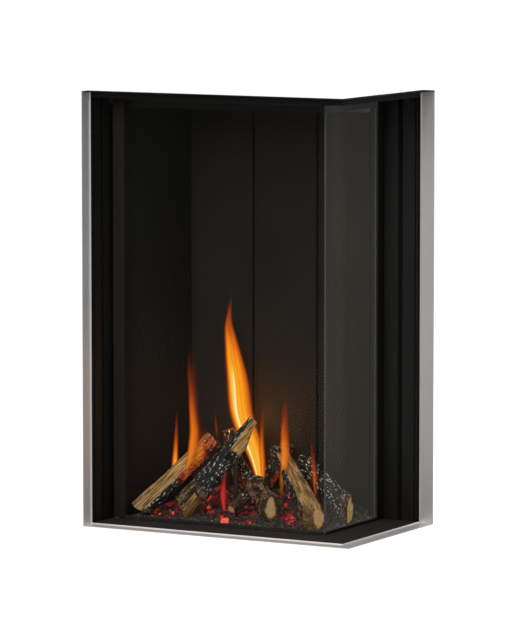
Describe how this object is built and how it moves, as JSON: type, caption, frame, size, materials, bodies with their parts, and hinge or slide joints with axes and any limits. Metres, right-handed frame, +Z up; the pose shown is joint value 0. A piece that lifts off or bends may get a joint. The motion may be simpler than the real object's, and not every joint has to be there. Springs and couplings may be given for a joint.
{
  "type": "corner gas fireplace",
  "caption": "Tall built-in corner gas fire with a steel trim frame, hinged front glass, side glass, ceramic log and ember bed, burner, balanced flue spigots and rear service box.",
  "frame": {"origin": "middle of the overall box in plan, on the level of the base", "axes": "+X towards the glass side, +Y back into the wall towards the flue, +Z up"},
  "size_m": [0.62, 0.499, 0.9],
  "materials": {
    "trim_steel": "brushed stainless steel strip",
    "trim_black": "satin black paint",
    "recess_black": "satin black heat-resistant paint",
    "casing_steel": "galvanised sheet steel",
    "lining_board": "dark vermiculite board",
    "insulation": "rigid ceramic fibre slab",
    "glass": "clear coated glass ceramic",
    "seal": "woven glass fibre rope",
    "flue_steel": "mill finish",
    "burner_steel": "heat-tinted stainless steel",
    "brass": "turned brass",
    "granulate": "fine charcoal-grey granulate",
    "ember": "glowing ceramic ember",
    "log_tan": "ceramic fibre log, split wood face",
    "log_charred": "ceramic fibre log, charred bark",
    "magnet": "black plastic bonded magnet",
    "knob": "black heat-resistant plastic",
    "lever": "red painted steel",
    "screw": "zinc plated steel"
  },
  "bodies": {
    "root": {"trim_left": "trim_steel", "trim_right": "trim_steel", "trim_bottom_front": "trim_steel", "trim_bottom_side": "trim_steel", "trim_top_front": "trim_black", "trim_top_side": "trim_black", "reveal_left": "recess_black", "reveal_right": "recess_black", "sill_plate": "recess_black", "soffit_plate": "recess_black", "base_plate": "casing_steel", "casing_left": "casing_steel", "casing_back": "casing_steel", "casing_right": "casing_steel", "casing_top": "casing_steel", "casing_screws": "screw", "left_liner": "lining_board", "back_panel_left": "lining_board", "back_panel_middle": "lining_board", "back_panel_right": "lining_board", "right_liner": "lining_board", "firebox_ceiling": "recess_black", "back_insulation": "insulation", "flue_collector": "flue_steel", "flue_inner_spigot": "flue_steel", "flue_outer_spigot": "flue_steel", "relief_pin": "burner_steel", "door_hinge_pins": "burner_steel", "door_magnets": "magnet", "side_glass": "glass", "side_glass_retainer": "recess_black", "side_glass_channels": "recess_black", "side_glass_seals": "seal", "burner_tray": "burner_steel", "burner_tubes": "burner_steel", "gas_feed_pipe": "brass", "pilot_burner": "burner_steel", "log_pegs": "burner_steel", "ember_bed": "granulate", "glowing_embers": "ember", "log_back_left": "log_tan", "log_front_left": "log_charred", "log_centre": "log_charred", "log_right": "log_tan", "log_far_right": "log_charred", "log_rear_stubs": "log_charred", "service_box": "casing_steel", "gas_valve": "flue_steel", "gas_inlet_tap": "brass", "wall_brackets": "casing_steel"},
    "door": {"door_glass": "glass", "door_stile": "recess_black", "door_top_rail": "recess_black", "door_bottom_rail": "recess_black", "door_gasket": "seal"},
    "service_hatch": {"service_door": "casing_steel"},
    "knob": {"control_knob": "knob"},
    "lever": {"isolation_lever": "lever"},
    "flap": {"relief_flap": "casing_steel"},
    "restrictor": {"flue_restrictor": "flue_steel"}
  },
  "joints": [
    {"name": "door_hinge", "type": "hinge", "parent": "root", "child": "door", "pos_m": [-0.298, -0.1305, 0.45], "axis": [0, 0, -1], "range_deg": [0, 90]},
    {"name": "service_door_hinge", "type": "hinge", "parent": "root", "child": "service_hatch", "pos_m": [-0.3065, 0.244, 0.11], "axis": [0, 0, -1], "range_deg": [0, 90]},
    {"name": "control_knob_turn", "type": "hinge", "parent": "root", "child": "knob", "pos_m": [-0.228, 0.2265, 0.04], "axis": [-1, 0, 0], "range_deg": [0, 90]},
    {"name": "isolation_lever_turn", "type": "hinge", "parent": "root", "child": "lever", "pos_m": [-0.1298, 0.2265, 0.047], "axis": [0, 0, -1], "range_deg": [0, 90]},
    {"name": "relief_flap_hinge", "type": "hinge", "parent": "root", "child": "flap", "pos_m": [-0.0535, 0.0575, 0.872], "axis": [-1, 0, 0], "range_deg": [0, 40]},
    {"name": "restrictor_slide", "type": "slide", "parent": "root", "child": "restrictor", "axis": [1, 0, 0], "range_m": [0, 0.05]}
  ]
}
